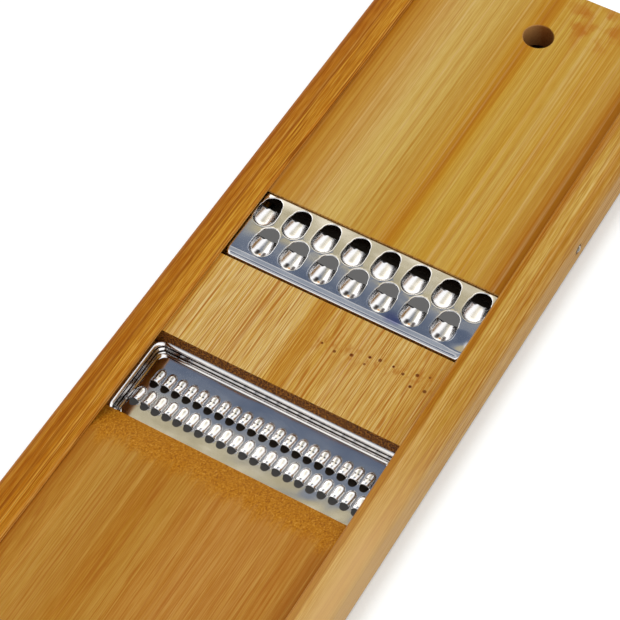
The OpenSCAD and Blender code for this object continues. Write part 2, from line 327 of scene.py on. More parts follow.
left_bamboo = oiled_bamboo("oiled_bamboo_left_rail", [
    (-46.0, "#9b651e"), (-44.6, "#a06514"), (-43.4, "#a96d16"), (-42.0, "#aa6f16"), (-41.3, "#a46914"),
    (-40.9, "#975d0e"), (-40.4, "#b78020"), (-38.6, "#be8925"), (-37.2, "#bc8723"), (-36.9, "#c08a26"),
    # The last two tones, on the inner rounded edge, are lifted as painted light against the shade that falls
    # there.
    (-36.3, "#d69c3c"), (-36.0, "#dca242"),
], 0.31, wander=0.25, streak="#8a4c0e", pale="#cc9c46", line="#8a480a", streaks=0.45, lines=0.75,
    depth=0.9, dashes=0.75, own_marks=shaded_under_plate, nails=[(-RAIL_OUT, y, NAIL_Z) for y in NAIL_PLACES])
right_bamboo = oiled_bamboo("oiled_bamboo_right_rail", [
    (36.0, "#8c5a10"), (36.7, "#a87318"), (38.0, "#a6721a"), (38.7, "#c09c43"), (41.2, "#c2a04c"),
    (42.4, "#b9923a"), (43.2, "#ae8229"), (44.0, "#b28630"), (45.0, "#c29b4b"), (46.0, "#c9a45e"),
], 0.77, wander=0.6, streak="#a66a1c", pale="#d8b36e", line="#9c5a16", streaks=0.45, lines=0.6,
    depth=0.75, dashes=0.5, own_marks=paler_length, nails=[(RAIL_OUT, y, NAIL_Z) for y in NAIL_PLACES])

right_rail = make_piece("right_rail_bamboo", rail_mesh(), right_bamboo)
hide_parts("right_rail")

mirrored = rail_mesh()
bmesh.ops.scale(mirrored, vec=(-1, 1, 1), verts=mirrored.verts)
bmesh.ops.recalc_face_normals(mirrored, faces=mirrored.faces)
left_rail = make_piece("left_rail_bamboo", mirrored, left_bamboo)
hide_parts("left_rail")


# Upper board: a laminated bamboo board, 9 mm thick, that slides into the rails' grooves. A hole
# through it hangs the tool up. Its lower end is undercut where the shreds leave the plate.
BOARD_HALF = 39.4
BOARD_LOW = 2.0
BOARD_HIGH = 11.0
UPPER_START = 160.0
UPPER_END = 51.3
UPPER_PROFILE = [
    (UPPER_START, BOARD_LOW), (UPPER_START, BOARD_HIGH), (UPPER_END, BOARD_HIGH), (UPPER_END, 10.45),
    (51.9, 10.45), (53.0, 6.95), (54.7, 6.95), (54.7, 6.35), (UPPER_END, 6.35), (UPPER_END, 5.9),
    (60.3, BOARD_LOW),
]
UPPER_BREAK = 0.4
END_BREAK = 0.5
HOLE_X = 2.5
HOLE_Y = 139.7
HOLE_RADIUS = 4.5
HOLE_BREAK = 0.45
UPPER_JOINT = (15, 152, BOARD_HIGH)


def board_mesh(profile):
    """A board drawn from the side and pulled across the gap between the grooves."""
    bm = bmesh.new()
    extrude_section(bm, profile, lambda p: (-BOARD_HALF, p[0], p[1]), (2 * BOARD_HALF, 0, 0))
    return bm


def cross_edges(bm, y, z):
    """The edges that run across a board at one place of its profile."""
    return [e for e in bm.edges if all(close_to(v, y=y, z=z) for v in e.verts)]


def upper_marks_and_shade(tree, place, axes, below):
    """The upper board's own mark, a mottled patch where it was cut through a culm joint, and painted
    light and shade: pale to dark across the bored hole's wall, and near black on the undercut end."""
    joint = near_point(tree, place, UPPER_JOINT, 5, 13)
    blot_place = add(tree, "Mapping", {"Vector": place, "Scale": (210, 170, 170)})
    blots = add(tree, "TexNoise", {"Vector": blot_place, "Scale": 1.0, "Detail": 3.0})
    blotted = add(tree, "MapRange", {"Value": blots, "From Min": 0.44, "From Max": 0.62, "To Max": 0.8})
    joint_share = add(tree, "Math", {"operation": "MULTIPLY", 0: joint, 1: blotted})
    mottled = add(tree, "MixRGB", {0: joint_share, 1: below, 2: "#ad651a"})

    # Painted light and shade in the bored hole: its wall pale on the left, dark to the right.
    level_place = add(tree, "CombineXYZ", {0: axes.outputs[0], 1: axes.outputs[1]})
    hole_shade_share = near_point(tree, level_place, (HOLE_X, HOLE_Y, 0), HOLE_RADIUS, HOLE_RADIUS + 0.3, 0.8)
    around = add(tree, "MapRange", {"Value": axes.outputs[0], "From Min": (HOLE_X - HOLE_RADIUS) * MM,
                                    "From Max": (HOLE_X + HOLE_RADIUS) * MM})
    wall = add(tree, "ValToRGB", {0: around}, [(0.1, "#d8a064"), (0.45, "#854a20"), (0.9, "#4c2210")])
    hole_shaded = add(tree, "MixRGB", {0: hole_shade_share, 1: mottled, 2: wall})

    # Painted shade, near black, on the undercut end below the plate's flange.
    low = add(tree, "MapRange", {"Value": axes.outputs[2], "From Min": 10.6 * MM, "From Max": 10.2 * MM})
    near = add(tree, "MapRange", {"Value": axes.outputs[1], "From Min": 66 * MM, "From Max": 56 * MM})
    share = add(tree, "Math", {"operation": "MULTIPLY", 0: low, 1: near})
    return add(tree, "MixRGB", {0: share, 1: hole_shaded, 2: "#1b1109"})


upper = board_mesh(UPPER_PROFILE)
round_edges(upper, cross_edges(upper, UPPER_END, BOARD_HIGH), UPPER_BREAK, 3)
upper_ends = cross_edges(upper, UPPER_START, BOARD_HIGH) + cross_edges(upper, UPPER_START, BOARD_LOW)
round_edges(upper, upper_ends, END_BREAK, 3)
rings = []
for height in (BOARD_HIGH, BOARD_LOW):
    skins = [f for f in upper.faces if abs(f.calc_center_median().z - height) < 1e-3]
    skin = max(skins, key=lambda f: f.calc_area())
    outline = list(skin.edges)
    bmesh.ops.delete(upper, geom=[skin], context="FACES_ONLY")
    ring = bmesh.ops.create_circle(upper, segments=48, radius=HOLE_RADIUS,
                                   matrix=Matrix.Translation((HOLE_X, HOLE_Y, height)))["verts"]
    ring_edges = list({e for v in ring for e in v.link_edges})
    bmesh.ops.triangle_fill(upper, use_beauty=True, edges=outline + ring_edges)
    rings += ring_edges
bmesh.ops.bridge_loops(upper, edges=rings)
bmesh.ops.recalc_face_normals(upper, faces=upper.faces)
round_edges(upper, rings, HOLE_BREAK, 3)

upper_bamboo = oiled_bamboo("oiled_bamboo_upper_board", [
    (-39.4, "#aa7118"), (-35.0, "#ad7419"), (-32.6, "#ba8b33"), (-29.0, "#be923d"), (-26.0, "#c39c51"),
    (-21.0, "#c7a759"), (-15.0, "#c7a755"), (-9.0, "#c19e49"), (-4.0, "#be963d"), (-2.0, "#b98a29"),
    (1.0, "#ae7519"), (3.0, "#b98823"), (4.4, "#c0993a"), (9.0, "#c09c40"), (13.0, "#be9432"),
    (17.0, "#c3a049"), (22.0, "#be9232"), (29.0, "#bd963f"), (31.5, "#b2802a"), (32.6, "#a9701c"),
    # From 33.4 mm outwards the tones are painted shade, where the right rail shades the board.
    (33.4, "#9c6210"), (35.0, "#965e0c"), (39.4, "#8c5608"),
], 2.13, wander=0.8, depth=0.42, dashes=0.2, streaks=0.5, lines=0.25, own_marks=upper_marks_and_shade,
    ends=("#84561f", "#a67435", "#be8e4c"))
upper_board = make_piece("upper_board_bamboo", upper, upper_bamboo)
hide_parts("upper_board")


# Middle board: a short bamboo board between the two plates, glued up from two strips. The right
# one was cut at a culm joint, whose ring of small scars crosses it. Both ends are kerfed.
MIDDLE_TOP = 26.5
MIDDLE_LOW = -3.1
MIDDLE_PROFILE = [
    (MIDDLE_TOP, BOARD_LOW), (MIDDLE_TOP, 6.35), (25.6, 6.35), (25.6, 6.95), (MIDDLE_TOP, 6.95),
    (MIDDLE_TOP, BOARD_HIGH), (MIDDLE_LOW, BOARD_HIGH), (MIDDLE_LOW, 6.65), (-1.6, 6.65), (-1.6, 6.05),
    (MIDDLE_LOW, 6.05), (MIDDLE_LOW, BOARD_LOW),
]
MIDDLE_BREAK = 0.2
JOINT_SCARS = [
    (2.6, 14.5), (6.8, 13.8), (11.3, 15.0), (15.6, 14.2), (15.8, 16.8), (18.6, 17.3), (22.6, 17.3),
    (25.8, 16.5), (29.3, 18.0), (32.5, 19.0), (29.3, 14.0), (33.3, 14.5),
]


def culm_joint(tree, place, axes, below):
    """Ruffles the fibres across the right strip, where they part and close round the joint."""
    leaning = add(tree, "Math", {"operation": "MULTIPLY_ADD", 0: axes.outputs[0], 1: -0.09,
                                 2: axes.outputs[1]})
    band = near_plane(tree, leaning, 14.5, 1.0, 4.5)
    strip = add(tree, "MapRange", {"Value": axes.outputs[0], "From Min": -3.0 * MM, "From Max": 2.0 * MM})
    blot_place = add(tree, "Mapping", {"Vector": place, "Scale": (900, 420, 420)})
    blots = add(tree, "TexNoise", {"Vector": blot_place, "Scale": 1.0, "Detail": 3.0})
    blotted = add(tree, "MapRange", {"Value": blots, "From Min": 0.48, "From Max": 0.66, "To Max": 0.7})
    banded = add(tree, "Math", {"operation": "MULTIPLY", 0: band, 1: blotted})
    share = add(tree, "Math", {"operation": "MULTIPLY", 0: banded, 1: strip})
    return add(tree, "MixRGB", {0: share, 1: below, 2: "#a9681c"})


middle = board_mesh(MIDDLE_PROFILE)
round_edges(middle, cross_edges(middle, MIDDLE_TOP, BOARD_HIGH), MIDDLE_BREAK, 2)
round_edges(middle, cross_edges(middle, MIDDLE_LOW, BOARD_HIGH), MIDDLE_BREAK, 2)
middle_bamboo = oiled_bamboo("oiled_bamboo_middle_board", [
    (-39.4, "#b58a35"), (-35.0, "#c8a44c"), (-32.0, "#d2b76c"), (-24.0, "#d1b66b"), (-16.0, "#d0b367"),
    (-8.0, "#d1b66b"), (-5.0, "#c8a34b"), (-2.2, "#b8872b"), (-0.4, "#c49e47"), (8.0, "#c5a04a"),
    (12.0, "#cbac5f"), (20.0, "#ccae5f"), (28.0, "#cbac5b"), (31.0, "#c09a47"), (39.4, "#b38d3e"),
], 4.4, wander=0.7, streaks=0.2, lines=0.85, line_gap=0.03, depth=0.75, dashes=0.5,
    own_marks=culm_joint, ends=("#2e1606", "#70400f", "#ab6d22"),
    scars=[(x, y, 0.48 + 0.1 * (i % 3), 1.0 - 0.15 * (i % 2)) for i, (x, y) in enumerate(JOINT_SCARS)])
middle_board = make_piece("middle_board_bamboo", middle, middle_bamboo)
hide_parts("middle_board")


# Lower board: a long bamboo board, more amber than the others. Its upper end is pared down to a
# thin edge on the fine plate's flange, and there the fibres are cut across and look speckled.
LOWER_END = -28.0
LOWER_START = -160.0
RAMP_STEPS = [
    (LOWER_END, 7.1), (-29.5, 7.85), (-31.5, 8.85), (-33.5, 9.75), (-35.3, 10.4), (-37.0, 10.8),
    (-38.8, BOARD_HIGH),
]
LOWER_PROFILE = [
    (LOWER_START, BOARD_LOW), (LOWER_END, BOARD_LOW), (LOWER_END, 2.4), (-29.0, 2.6), (-30.3, 6.05),
    (-30.8, 6.05), (-30.8, 6.65), (LOWER_END, 6.65), *RAMP_STEPS, (LOWER_START, BOARD_HIGH),
]


def pared_ramp(tree, place, axes, below):
    """Covers the ramp with the amber, speckled look of fibres that were cut at a slant. The
    patch ends in long ragged fibres, and stays off the undercut below the ramp."""
    edge_place = add(tree, "Mapping", {"Vector": place, "Scale": (420, 60, 60)})
    ragged = add(tree, "TexNoise", {"Vector": edge_place, "Scale": 1.0, "Detail": 4.0, "Roughness": 0.65})
    edge = add(tree, "MapRange", {"Value": ragged, "To Min": -6.5 * MM, "To Max": 6.5 * MM})
    reach = add(tree, "Math", {"operation": "ADD", 0: axes.outputs[1], 1: edge})
    share = add(tree, "MapRange", {"Value": reach, "From Min": -40.5 * MM, "From Max": -35.5 * MM,
                                   "To Max": 0.9})
    high = add(tree, "MapRange", {"Value": axes.outputs[2], "From Min": 6.7 * MM, "From Max": 7.0 * MM})
    shown = add(tree, "Math", {"operation": "MULTIPLY", 0: share, 1: high})
    speck_place = add(tree, "Mapping", {"Vector": place, "Scale": (2300, 1400, 1400)})
    specks = add(tree, "TexNoise", {"Vector": speck_place, "Scale": 1.0, "Detail": 2.0, "Roughness": 0.7})
    amber = add(tree, "ValToRGB", {0: specks},
                [(0.34, "#8b4f0c"), (0.46, "#ac6b11"), (0.58, "#b87a18"), (0.7, "#cb9236")])
    return add(tree, "MixRGB", {0: shown, 1: below, 2: amber})


lower = board_mesh(LOWER_PROFILE)
lower_ends = cross_edges(lower, LOWER_START, BOARD_HIGH) + cross_edges(lower, LOWER_START, BOARD_LOW)
round_edges(lower, lower_ends, END_BREAK, 3)
lower_bamboo = oiled_bamboo("oiled_bamboo_lower_board", [
    (-39.4, "#985f1a"), (-36.0, "#a2691c"), (-33.0, "#ae7c2b"), (-27.0, "#b38535"), (-22.0, "#b78c3c"),
    (-18.0, "#ad7c2d"), (-13.0, "#ac7825"), (-6.0, "#b28332"), (0.0, "#b48133"), (8.0, "#b78339"),
    (20.0, "#b58137"), (26.5, "#b38035"), (28.2, "#a86c23"), (30.5, "#af7a2e"), (34.0, "#a16c27"),
    (39.4, "#925c1c"),
], 6.9, wander=0.9, streak="#a4601a", pale="#c49645", line="#9a5214", streaks=0.45, lines=0.45,
    depth=0.42, own_marks=pared_ramp)
lower_board = make_piece("lower_board_bamboo", lower, lower_bamboo)
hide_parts("lower_board")


# Coarse plate: 0.5 mm stainless sheet pressed into a shallow pan. Fifteen scoops are punched
# down into its flat, each ground to a sharp lip in front of a hole. Its flange sits in kerfs.
SHEET = 0.5
COARSE_Y = 40.2
COARSE_Z = 10.3
COARSE_HALF = (35.75, 11.45)
FLAT_CORNER = 2.2
HOLD = 0.15
COARSE_WALL = [
    (0.0, 0.0), (0.28, -0.04), (0.54, -0.16), (0.76, -0.35), (0.92, -0.6), (1.03, -0.9), (1.15, -1.4),
    (1.55, -2.95), (1.66, -3.17), (1.82, -3.33), (2.05, -3.4), (2.7, -3.4),
]
NEAR_WALL = -10.2
NEAR_WALL_SHIFT = -0.35
BOWL_RADIUS = 3.35
BOWL_NARROW = 0.86
BOWL_BACK = 6.6
BOWL_FRONT = 2.2
BOWL_DEPTH = 2.4
BOWL_DIP = 0.35
BOWL_STEPS = 6
LIP_LEAN = math.radians(28)
SLOT_RADIUS = 2.8
SLOT_REACH = 3.8
SLOT_DROP = 0.1
SCOOP_RIM = [(0.1, 0.014), (0.2, 0.019), (0.3, 0.008), (0.36, 0.0)]
SCOOP_PITCH = 9.28
SCOOP_ROWS = [(46.75, 8), (37.3, 7)]
COARSE_PAINTED_REFLECTIONS = [(1.0, 33.0, 0.9, "#24150a"), (1.0, 33.8, 0.8, "#24150a"), (0.0, 33.0, 0.5, "#a87434")]
COARSE_STAINS = [(13.9, 31.2, 2.6, "#6a6ab4"), (16.0, 30.8, 1.8, "#7a7ac0")]
COARSE_DENTS = [(33.6, 33.0, 4.5, 0.4)]
COARSE_ROLL = 0.42
ROLL_SPAN = (-9.7, -11.6)
PUNCHED_SPAN = (11.2, 10.8)
WAVE_HEIGHT = 0.25
SCRATCH_HEIGHT = 0.0004


def all_of(bm):
    """Everything in a bmesh, as the cutting operators take it."""
    return bm.verts[:] + bm.edges[:] + bm.faces[:]


def grow_loop(bm, edges, vector, factors, centre):
    """Extrudes a loop of edges by one step, scales it about a centre and gives back its new edges."""
    grown = bmesh.ops.extrude_edge_only(bm, edges=edges)["geom"]
    verts = [g for g in grown if isinstance(g, bmesh.types.BMVert)]
    bmesh.ops.scale(bm, vec=factors, verts=verts, space=Matrix.Translation(-Vector(centre)))
    bmesh.ops.translate(bm, vec=vector, verts=verts)
    new = set(verts)
    return [e for e in {e for v in verts for e in v.link_edges} if e.verts[0] in new and e.verts[1] in new]


def grow_outline(bm, loop, half, start, steps):
    """Grows a loop outwards from a shape's half sizes through steps of reach and height."""
    (half_x, half_y, centre_y), (out, lift) = half, start
    for reach, height in steps:
        factors = ((half_x + reach) / (half_x + out), (half_y + reach) / (half_y + out), 1)
        loop = grow_loop(bm, loop, (0, 0, height - lift), factors, (0, centre_y, 0))
        out, lift = reach, height


def add_slot(bm, radius, reach, sweep, steps):
    """Draws the round-ended edge of the hole in front of a punched shape, from one foot of its
    mouth round to the other. reach is signed, and sweep turns towards it."""
    feet = [v for v in bm.verts if close_to(v, y=0, z=0)]
    start = max(feet, key=lambda v: v.co.x)
    end = min(feet, key=lambda v: v.co.x)
    before = set(bm.verts)
    centre_y = reach - math.copysign(radius, reach)
    first = bmesh.ops.extrude_vert_indiv(bm, verts=[start])["verts"][0]
    first.co = (radius, centre_y, 0)
    bmesh.ops.spin(bm, geom=[first], cent=(0, centre_y, 0), axis=(0, 0, 1), angle=sweep, steps=steps)
    arc = [v for v in bm.verts if v not in before]
    last = min(arc, key=lambda v: v.co.x + abs(v.co.y - centre_y))
    bm.edges.new((last, end))
    return arc


def punched_scoop():
    """One scoop as a bare skin: its lip at the origin, its closed end towards -Y, its flat at Z 0."""
    bm = bmesh.new()
    middle_y = BOWL_RADIUS - BOWL_BACK
    ball = Matrix.Translation((0, middle_y, 0)) @ Matrix.Rotation(math.pi / 2, 4, "X")
    bmesh.ops.create_uvsphere(bm, u_segments=32, v_segments=20, radius=BOWL_RADIUS, matrix=ball)
    bmesh.ops.bisect_plane(bm, geom=all_of(bm), dist=1e-3, plane_co=(0, 0, 0), plane_no=(0, 0, 1),
                           clear_outer=True)
    bmesh.ops.bisect_plane(bm, geom=all_of(bm), dist=1e-3, plane_co=(0, middle_y, 0), plane_no=(0, 1, 0),
                           clear_outer=True)
    bmesh.ops.scale(bm, vec=(1, 1, BOWL_DEPTH / BOWL_RADIUS), verts=bm.verts)
    mouth = [e for e in bm.edges if all(close_to(v, y=middle_y) for v in e.verts)]
    widths = [1 - (1 - BOWL_NARROW) * (step / BOWL_STEPS) ** 2 for step in range(BOWL_STEPS + 1)]
    depths = [BOWL_DEPTH + BOWL_DIP * step / BOWL_STEPS for step in range(BOWL_STEPS + 1)]
    for step in range(BOWL_STEPS):
        factors = (widths[step + 1] / widths[step], 1, depths[step + 1] / depths[step])
        mouth = grow_loop(bm, mouth, (0, (BOWL_FRONT - middle_y) / BOWL_STEPS, 0), factors, (0, 0, 0))
    bmesh.ops.bisect_plane(bm, geom=all_of(bm), dist=1e-3, plane_co=(0, 0, 0), clear_outer=True,
                           plane_no=(0, math.cos(LIP_LEAN), math.sin(LIP_LEAN)))
    arc = add_slot(bm, SLOT_RADIUS, SLOT_REACH, math.pi, 18)
    loop = [e for e in bm.edges if all(close_to(v, z=0) for v in e.verts)]
    half = (BOWL_RADIUS, (SLOT_REACH + BOWL_BACK) / 2, (SLOT_REACH - BOWL_BACK) / 2)
    grow_outline(bm, loop, half, (0, 0), SCOOP_RIM)
    bmesh.ops.translate(bm, vec=(0, 0, -SLOT_DROP), verts=arc)
    return bm


def repeat_skin(bm, places):
    """Copies all that a bmesh holds to each place after the first, and moves the first last."""
    master = all_of(bm)
    for place in places[1:]:
        copy = bmesh.ops.duplicate(bm, geom=master)["geom"]
        bmesh.ops.translate(bm, vec=place, verts=[g for g in copy if isinstance(g, bmesh.types.BMVert)])
    bmesh.ops.translate(bm, vec=places[0], verts=[g for g in master if isinstance(g, bmesh.types.BMVert)])


def press_pan(bm, flat_half, wall):
    """Fills the flat between the punched shapes and a round-cornered outline, and draws the wall
    and flange out of that outline, step by step, as the press does."""
    holes = [e for e in bm.edges if e.is_boundary and all(close_to(v, z=0) for v in e.verts)]
    a, b = flat_half[0] - HOLD, flat_half[1] - HOLD
    corners = [bm.verts.new(co) for co in ((-a, -b, 0), (a, -b, 0), (a, b, 0), (-a, b, 0))]
    bm.faces.new(corners)
    bmesh.ops.bevel(bm, geom=corners, offset=FLAT_CORNER, offset_type="OFFSET", segments=8, profile=0.5,
                    affect="VERTICES", material=-1)
    sheets = [f for f in bm.faces if len(f.verts) > 20 and abs(f.normal.z) > 0.99]
    sheet = max(sheets, key=lambda f: f.calc_area())
    outline = list(sheet.edges)
    bmesh.ops.delete(bm, geom=[sheet], context="FACES_ONLY")
    bmesh.ops.triangle_fill(bm, use_beauty=True, edges=holes + outline)
    grow_outline(bm, outline, (*flat_half, 0), (-HOLD, 0), wall)
    bmesh.ops.recalc_face_normals(bm, faces=bm.faces)
    flat = max(bm.faces, key=lambda f: f.calc_area())
    if flat.normal.z < 0:
        bmesh.ops.reverse_faces(bm, faces=bm.faces)


def thicken(piece):
    """Gives a skin the sheet's thickness below its upper face."""
    wall = piece.modifiers.new("sheet thickness", "SOLIDIFY")
    wall.thickness = SHEET * MM
    wall.offset = -1
    wall.use_even_offset = False
    piece.modifiers.move(len(piece.modifiers) - 1, 0)


def pressed_steel(name, middle_y, middle_z, near_crown, far_crown, dull_from, dull_to, roll=0.0,
                  painted_wall_bands=(), flat_half=(), reflection_pitch=0, reflection_reach=0, painted_reflections=(), stains=(), dents=()):
    """Bright-annealed stainless steel sheet, pressed: near mirror, with slow waves left by the
    press and hair-fine scratches, so that it reflects bent bands of its surroundings."""
    material, tree, surface = new_material(name)
    place = add(tree, "TexCoord").outputs["Object"]
    axes = add(tree, "SeparateXYZ", {0: place})
    off_middle = add(tree, "Math", {"operation": "SUBTRACT", 0: axes.outputs[1], 1: middle_y * MM})
    off_line = add(tree, "Math", {"operation": "ABSOLUTE", 0: off_middle})
    off_side = add(tree, "Math", {"operation": "ABSOLUTE", 0: axes.outputs[0]})

    # Smears, about 8 mm across, change the tone by a few per cent.
    smear_place = add(tree, "Mapping", {"Vector": place, "Scale": (90, 160, 90)})
    smear = add(tree, "TexNoise", {"Vector": smear_place, "Scale": 1.0, "Detail": 4.0, "Roughness": 0.6})
    tone = add(tree, "ValToRGB", {0: smear}, [(0.3, "#d2d2d4"), (0.7, "#e2e1e0")])

    # Painted shade and painted reflections: dark brown bands across the wall and in its bends, for the shade
    # there and the bamboo the wall mirrors.
    if painted_wall_bands:
        past = [add(tree, "MapRange", {"Value": gap, "From Min": (half - 0.05) * MM,
                                       "From Max": (half + 0.05) * MM})
                for gap, half in zip((off_side, off_line), flat_half)]
        on_wall = add(tree, "Math", {"operation": "MAXIMUM", 0: past[0], 1: past[1]})
        for height, half_width in painted_wall_bands:
            share = near_plane(tree, axes.outputs[2], middle_z + height, 0.7 * half_width, half_width)
            banded_share = add(tree, "Math", {"operation": "MULTIPLY", 0: share, 1: on_wall})
            tone = add(tree, "MixRGB", {0: banded_share, 1: tone, 2: "#2a1a0c"})

    # Blue-violet heat stains.
    for x, y, radius, stain in stains:
        share = near_point(tree, place, (x, y, middle_z), 0.3 * radius, radius, 0.55)
        tone = add(tree, "MixRGB", {0: share, 1: tone, 2: stain})

    # Painted reflections: dark spots, and an amber one on the coarse plate, that repeat at each scoop or
    # tooth of one row, on both sides of its middle.
    if painted_reflections:
        off_shape = add(tree, "Math", {"operation": "PINGPONG", 0: axes.outputs[0],
                                       1: reflection_pitch / 2 * MM})
        spot_place = add(tree, "CombineXYZ", {0: off_shape, 1: axes.outputs[1]})
        in_row = add(tree, "MapRange", {"Value": off_side, "From Min": (reflection_reach + 0.2) * MM,
                                        "From Max": (reflection_reach - 0.2) * MM, "To Max": 0.9})
        for x, y, radius, reflected_tone in painted_reflections:
            share = near_point(tree, spot_place, (x, y, 0), 0.4 * radius, radius)
            reflected_share = add(tree, "Math", {"operation": "MULTIPLY", 0: share, 1: in_row})
            tone = add(tree, "MixRGB", {0: reflected_share, 1: tone, 2: reflected_tone})

    # The punch stretches the skin of a scoop or tooth, which leaves it duller than the flat.
    matt = add(tree, "MapRange", {"Value": smear, "From Min": 0.35, "From Max": 0.75,
                                  "To Min": 0.09, "To Max": 0.19})
    inside = add(tree, "MapRange", {"Value": off_line, "From Min": PUNCHED_SPAN[0] * MM,
                                    "From Max": PUNCHED_SPAN[1] * MM})
    stretched = add(tree, "MapRange", {"Value": axes.outputs[2], "From Min": (middle_z + dull_from) * MM,
                                       "From Max": (middle_z + dull_to) * MM})
    dull = add(tree, "Math", {"operation": "MULTIPLY", 0: inside, 1: stretched})
    rough = add(tree, "Math", {"operation": "MULTIPLY_ADD", 0: dull, 1: 0.12, 2: matt})

    # Crown of the pressed flat: a parabola on each side of the middle, in metres, then a roll
    # down along the near edge, then dents and slow press waves.
    near_side = add(tree, "Math", {"operation": "MINIMUM", 0: off_middle, 1: 0.0})
    far_side = add(tree, "Math", {"operation": "MAXIMUM", 0: off_middle, 1: 0.0})
    near_square = add(tree, "Math", {"operation": "POWER", 0: near_side, 1: 2.0})
    far_square = add(tree, "Math", {"operation": "POWER", 0: far_side, 1: 2.0})
    rolled = add(tree, "MapRange", {"interpolation_type": "SMOOTHSTEP", "Value": off_middle,
                                    "From Min": ROLL_SPAN[0] * MM, "From Max": ROLL_SPAN[1] * MM,
                                    "To Max": -roll * MM})
    near_bow = add(tree, "Math", {"operation": "MULTIPLY_ADD", 0: near_square, 1: near_crown, 2: rolled})
    bowed = add(tree, "Math", {"operation": "MULTIPLY_ADD", 0: far_square, 1: far_crown, 2: near_bow})
    for x, y, radius, depth in dents:
        dent = near_point(tree, place, (x, y, middle_z), 0.0, radius, -depth * MM, "SMOOTHSTEP")
        bowed = add(tree, "Math", {"operation": "ADD", 0: bowed, 1: dent})
    wave_place = add(tree, "Mapping", {"Vector": place, "Scale": (70, 110, 110)})
    wave = add(tree, "TexNoise", {"Vector": wave_place, "Scale": 1.0, "Detail": 1.0})
    waved = add(tree, "Math", {"operation": "MULTIPLY_ADD", 0: wave, 1: WAVE_HEIGHT * MM, 2: bowed})

    # Rolling scratches along X, 0.3 mm apart.
    scratch_place = add(tree, "Mapping", {"Vector": place, "Scale": (60, 3500, 3500)})
    scratches = add(tree, "TexNoise", {"Vector": scratch_place, "Scale": 1.0, "Detail": 3.0})
    height = add(tree, "Math", {"operation": "MULTIPLY_ADD", 0: scratches, 1: SCRATCH_HEIGHT * MM,
                                2: waved})
    bump = add(tree, "Bump", {"Height": height, "Strength": 1.0, "Distance": 1.0})
    set_up(tree, surface, {"Base Color": tone, "Metallic": 1.0, "Roughness": rough, "Normal": bump})
    return material


def row_places(rows, pitch, middle_y):
    """Where the punched shapes of each row stand, measured from the plate's middle."""
    return [((i - (count - 1) / 2) * pitch, y - middle_y, 0) for y, count in rows for i in range(count)]


coarse = punched_scoop()
repeat_skin(coarse, row_places(SCOOP_ROWS, SCOOP_PITCH, COARSE_Y))
press_pan(coarse, COARSE_HALF, COARSE_WALL)
near_wall = [v for v in coarse.verts if v.co.y < NEAR_WALL]
bmesh.ops.translate(coarse, vec=(0, NEAR_WALL_SHIFT, 0), verts=near_wall)
bmesh.ops.translate(coarse, vec=(0, COARSE_Y, COARSE_Z), verts=coarse.verts)
coarse_steel = pressed_steel("bright_stainless_coarse_plate", COARSE_Y, COARSE_Z, near_crown=-7.0,
                             far_crown=-2.3, dull_from=-0.1, dull_to=-0.8, roll=COARSE_ROLL,
                             reflection_pitch=SCOOP_PITCH, reflection_reach=32.2, painted_reflections=COARSE_PAINTED_REFLECTIONS,
                             stains=COARSE_STAINS, dents=COARSE_DENTS)
coarse_plate = make_piece("coarse_plate_steel", coarse, coarse_steel, sharp=50)
thicken(coarse_plate)
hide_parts("coarse_plate")


# Fine plate: the same sheet pressed into a pan that is set the other way up, so its flat lies
# 3 mm below the flange. Forty-one small hooded teeth are punched up from the flat in two rows.
FINE_Y = -16.2
FINE_Z = 3.2
FINE_HALF = (35.1, 10.7)
FINE_WALL = [
    (0.0, 0.0), (0.04, 0.06), (0.58, 0.48), (0.62, 0.68), (0.86, 0.88), (0.91, 1.7), (1.3, 2.05),
    (1.34, 2.76), (1.6, 3.04), (1.84, 3.25), (2.05, 3.37), (2.3, 3.4), (3.8, 3.4),
]
# Painted shade and reflection bands on the wall: height above the flat and half width.
FINE_PAINTED_BANDS = [(0.1, 0.1), (0.58, 0.12), (1.3, 0.46), (2.4, 0.4)]
FINE_DENTS = [(22.0, -24.5, 4.5, 0.12), (30.0, -22.5, 4.0, 0.1)]
TOOTH_RADIUS = 1.54
TOOTH_BACK = 5.0
TOOTH_FLATTEN = 0.64
TOOTH_TAPER = 2.2
TOOTH_STEPS = 3
TOOTH_GROWTH = (0.99, 1, 1.15)
TOOTH_SLOT = 1.6
TOOTH_SLOT_RADIUS = 1.15
TOOTH_DROP = 0.05
TOOTH_FOOT = [(0.04, 0.0), (0.08, 0.0)]
TOOTH_PITCH = 3.35
TOOTH_ROWS = [(-14.1, 20), (-21.3, 21)]
TOOTH_PAINTED_REFLECTIONS = [(TOOTH_PITCH / 2 - 0.46, -12.1, 0.36, "#2a2420")]


